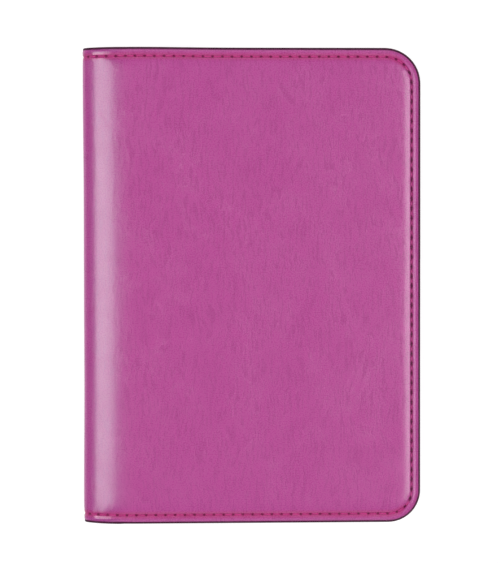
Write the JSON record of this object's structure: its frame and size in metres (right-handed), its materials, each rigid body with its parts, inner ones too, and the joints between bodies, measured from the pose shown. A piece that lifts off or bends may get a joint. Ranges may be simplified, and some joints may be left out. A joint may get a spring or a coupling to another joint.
{
  "type": "passport holder",
  "caption": "Closed bifold passport holder in padded leather: rounded fore-edge corners, soft folding spine, sewn and painted edge, inner passport sleeve and stepped card slots.",
  "frame": {"origin": "below the middle of the closed holder, on the surface it lies on", "axes": "+X from the spine to the fore-edge, +Y from tail to head, +Z out of the front cover"},
  "size_m": [0.1, 0.141, 0.0104],
  "materials": {
    "fuchsia_leather": "glossy pull-up leather with fine pale crackle",
    "plum_lining": "fine twill",
    "edge_paint": "dark plum painted edge, satin",
    "sewing_thread": "waxed polyester thread",
    "grey_board": "bonded fibre board",
    "pad_foam": "thin closed foam padding"
  },
  "bodies": {
    "back_cover": {"back_leather": "fuchsia_leather", "back_foam": "pad_foam", "back_board": "grey_board", "back_lining": "plum_lining", "back_edge_paint": "edge_paint", "back_needle_thread": "sewing_thread", "back_bobbin_thread": "sewing_thread", "passport_sleeve": "fuchsia_leather"},
    "spine": {"spine_leather": "fuchsia_leather", "spine_reinforcement": "grey_board", "spine_lining": "plum_lining", "spine_edge_paint_head": "edge_paint", "spine_needle_thread_head": "sewing_thread", "spine_bobbin_thread_head": "sewing_thread", "spine_edge_paint_tail": "edge_paint", "spine_needle_thread_tail": "sewing_thread", "spine_bobbin_thread_tail": "sewing_thread"},
    "front_cover": {"front_leather": "fuchsia_leather", "front_foam": "pad_foam", "front_board": "grey_board", "front_lining": "plum_lining", "front_edge_paint": "edge_paint", "front_needle_thread": "sewing_thread", "front_bobbin_thread": "sewing_thread", "slip_pocket_panel": "fuchsia_leather", "card_slot_upper": "fuchsia_leather", "card_slot_middle": "fuchsia_leather", "card_slot_lower": "fuchsia_leather", "card_slot_thread": "sewing_thread"}
  },
  "joints": [
    {"name": "spine_fold", "type": "hinge", "parent": "back_cover", "child": "spine", "pos_m": [-0.04857, 0, 0.00143], "axis": [0, -1, 0], "range_deg": [0, 90]},
    {"name": "cover_fold", "type": "hinge", "parent": "spine", "child": "front_cover", "pos_m": [-0.04857, 0, 0.00897], "axis": [0, -1, 0], "range_deg": [0, 90]}
  ],
  "couplings": [
    {"joint": "cover_fold", "follows": "spine_fold", "ratio": 1}
  ]
}
